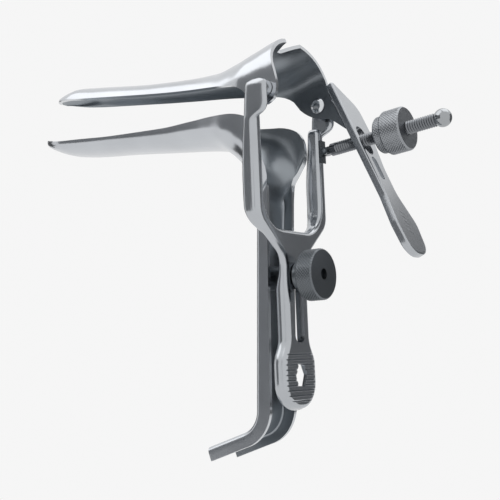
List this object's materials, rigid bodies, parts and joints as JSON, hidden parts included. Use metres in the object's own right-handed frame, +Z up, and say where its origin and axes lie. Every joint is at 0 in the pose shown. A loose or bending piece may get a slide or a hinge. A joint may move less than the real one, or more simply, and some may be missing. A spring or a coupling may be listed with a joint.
{
  "type": "bivalve vaginal speculum",
  "caption": "Two-bladed vaginal speculum with channel handle, sliding slotted yoke, side thumb lever, threaded rod with knurled stop nut and knurled clamp nut.",
  "frame": {"origin": "on the clamp stud's axis, just behind the rear edges of the channel handle, where the first finger of the hand lies", "axes": "+X back from the blades to the user, +Y across to the side with the thumb lever, +Z up from the handle to the blades"},
  "size_m": [0.1782, 0.0558, 0.1562],
  "materials": {
    "blade_steel": "satin",
    "frame_steel": "satin",
    "knurled_steel": "matt, diamond knurled",
    "rod_steel": "satin, threaded",
    "polished_steel": "polished"
  },
  "bodies": {
    "handle": {"lower_blade": "blade_steel", "clamp_stud": "frame_steel"},
    "yoke": {"yoke_frame": "frame_steel", "pivot_pin_near": "polished_steel", "pivot_pin_far": "polished_steel", "rod_clevis": "frame_steel", "rod_hinge_pin": "polished_steel"},
    "upper": {"upper_blade": "blade_steel", "thumb_lever": "frame_steel"},
    "rod": {"lever_rod": "rod_steel", "rod_end_ball": "polished_steel"},
    "stop_nut": {"lever_nut": "knurled_steel"},
    "clamp": {"clamp_nut": "knurled_steel"}
  },
  "joints": [
    {"name": "yoke_lift", "type": "slide", "parent": "handle", "child": "yoke", "axis": [-0.0523, 0, 0.9986], "range_m": [0, 0.021]},
    {"name": "blade_tilt", "type": "hinge", "parent": "yoke", "child": "upper", "pos_m": [0.00413, 0, 0.06641], "axis": [0, 1, 0], "range_deg": [-7.5, 22]},
    {"name": "rod_swing", "type": "hinge", "parent": "yoke", "child": "rod", "pos_m": [0.00531, 0.0218, 0.04955], "axis": [0, 1, 0], "range_deg": [-7.6, 22.1]},
    {"name": "lever_nut_travel", "type": "slide", "parent": "rod", "child": "stop_nut", "axis": [0.9885, 0, 0.1513], "range_m": [-0.00594, 0.00209]},
    {"name": "clamp_nut_turn", "type": "hinge", "parent": "handle", "child": "clamp", "pos_m": [0, 0, 0], "axis": [0.9986, 0, 0.0523], "range_deg": [-180, 180]}
  ],
  "couplings": [
    {"joint": "rod_swing", "follows": "blade_tilt", "ratio": 1},
    {"joint": "lever_nut_travel", "follows": "blade_tilt", "m_per_rad": -0.0152}
  ]
}
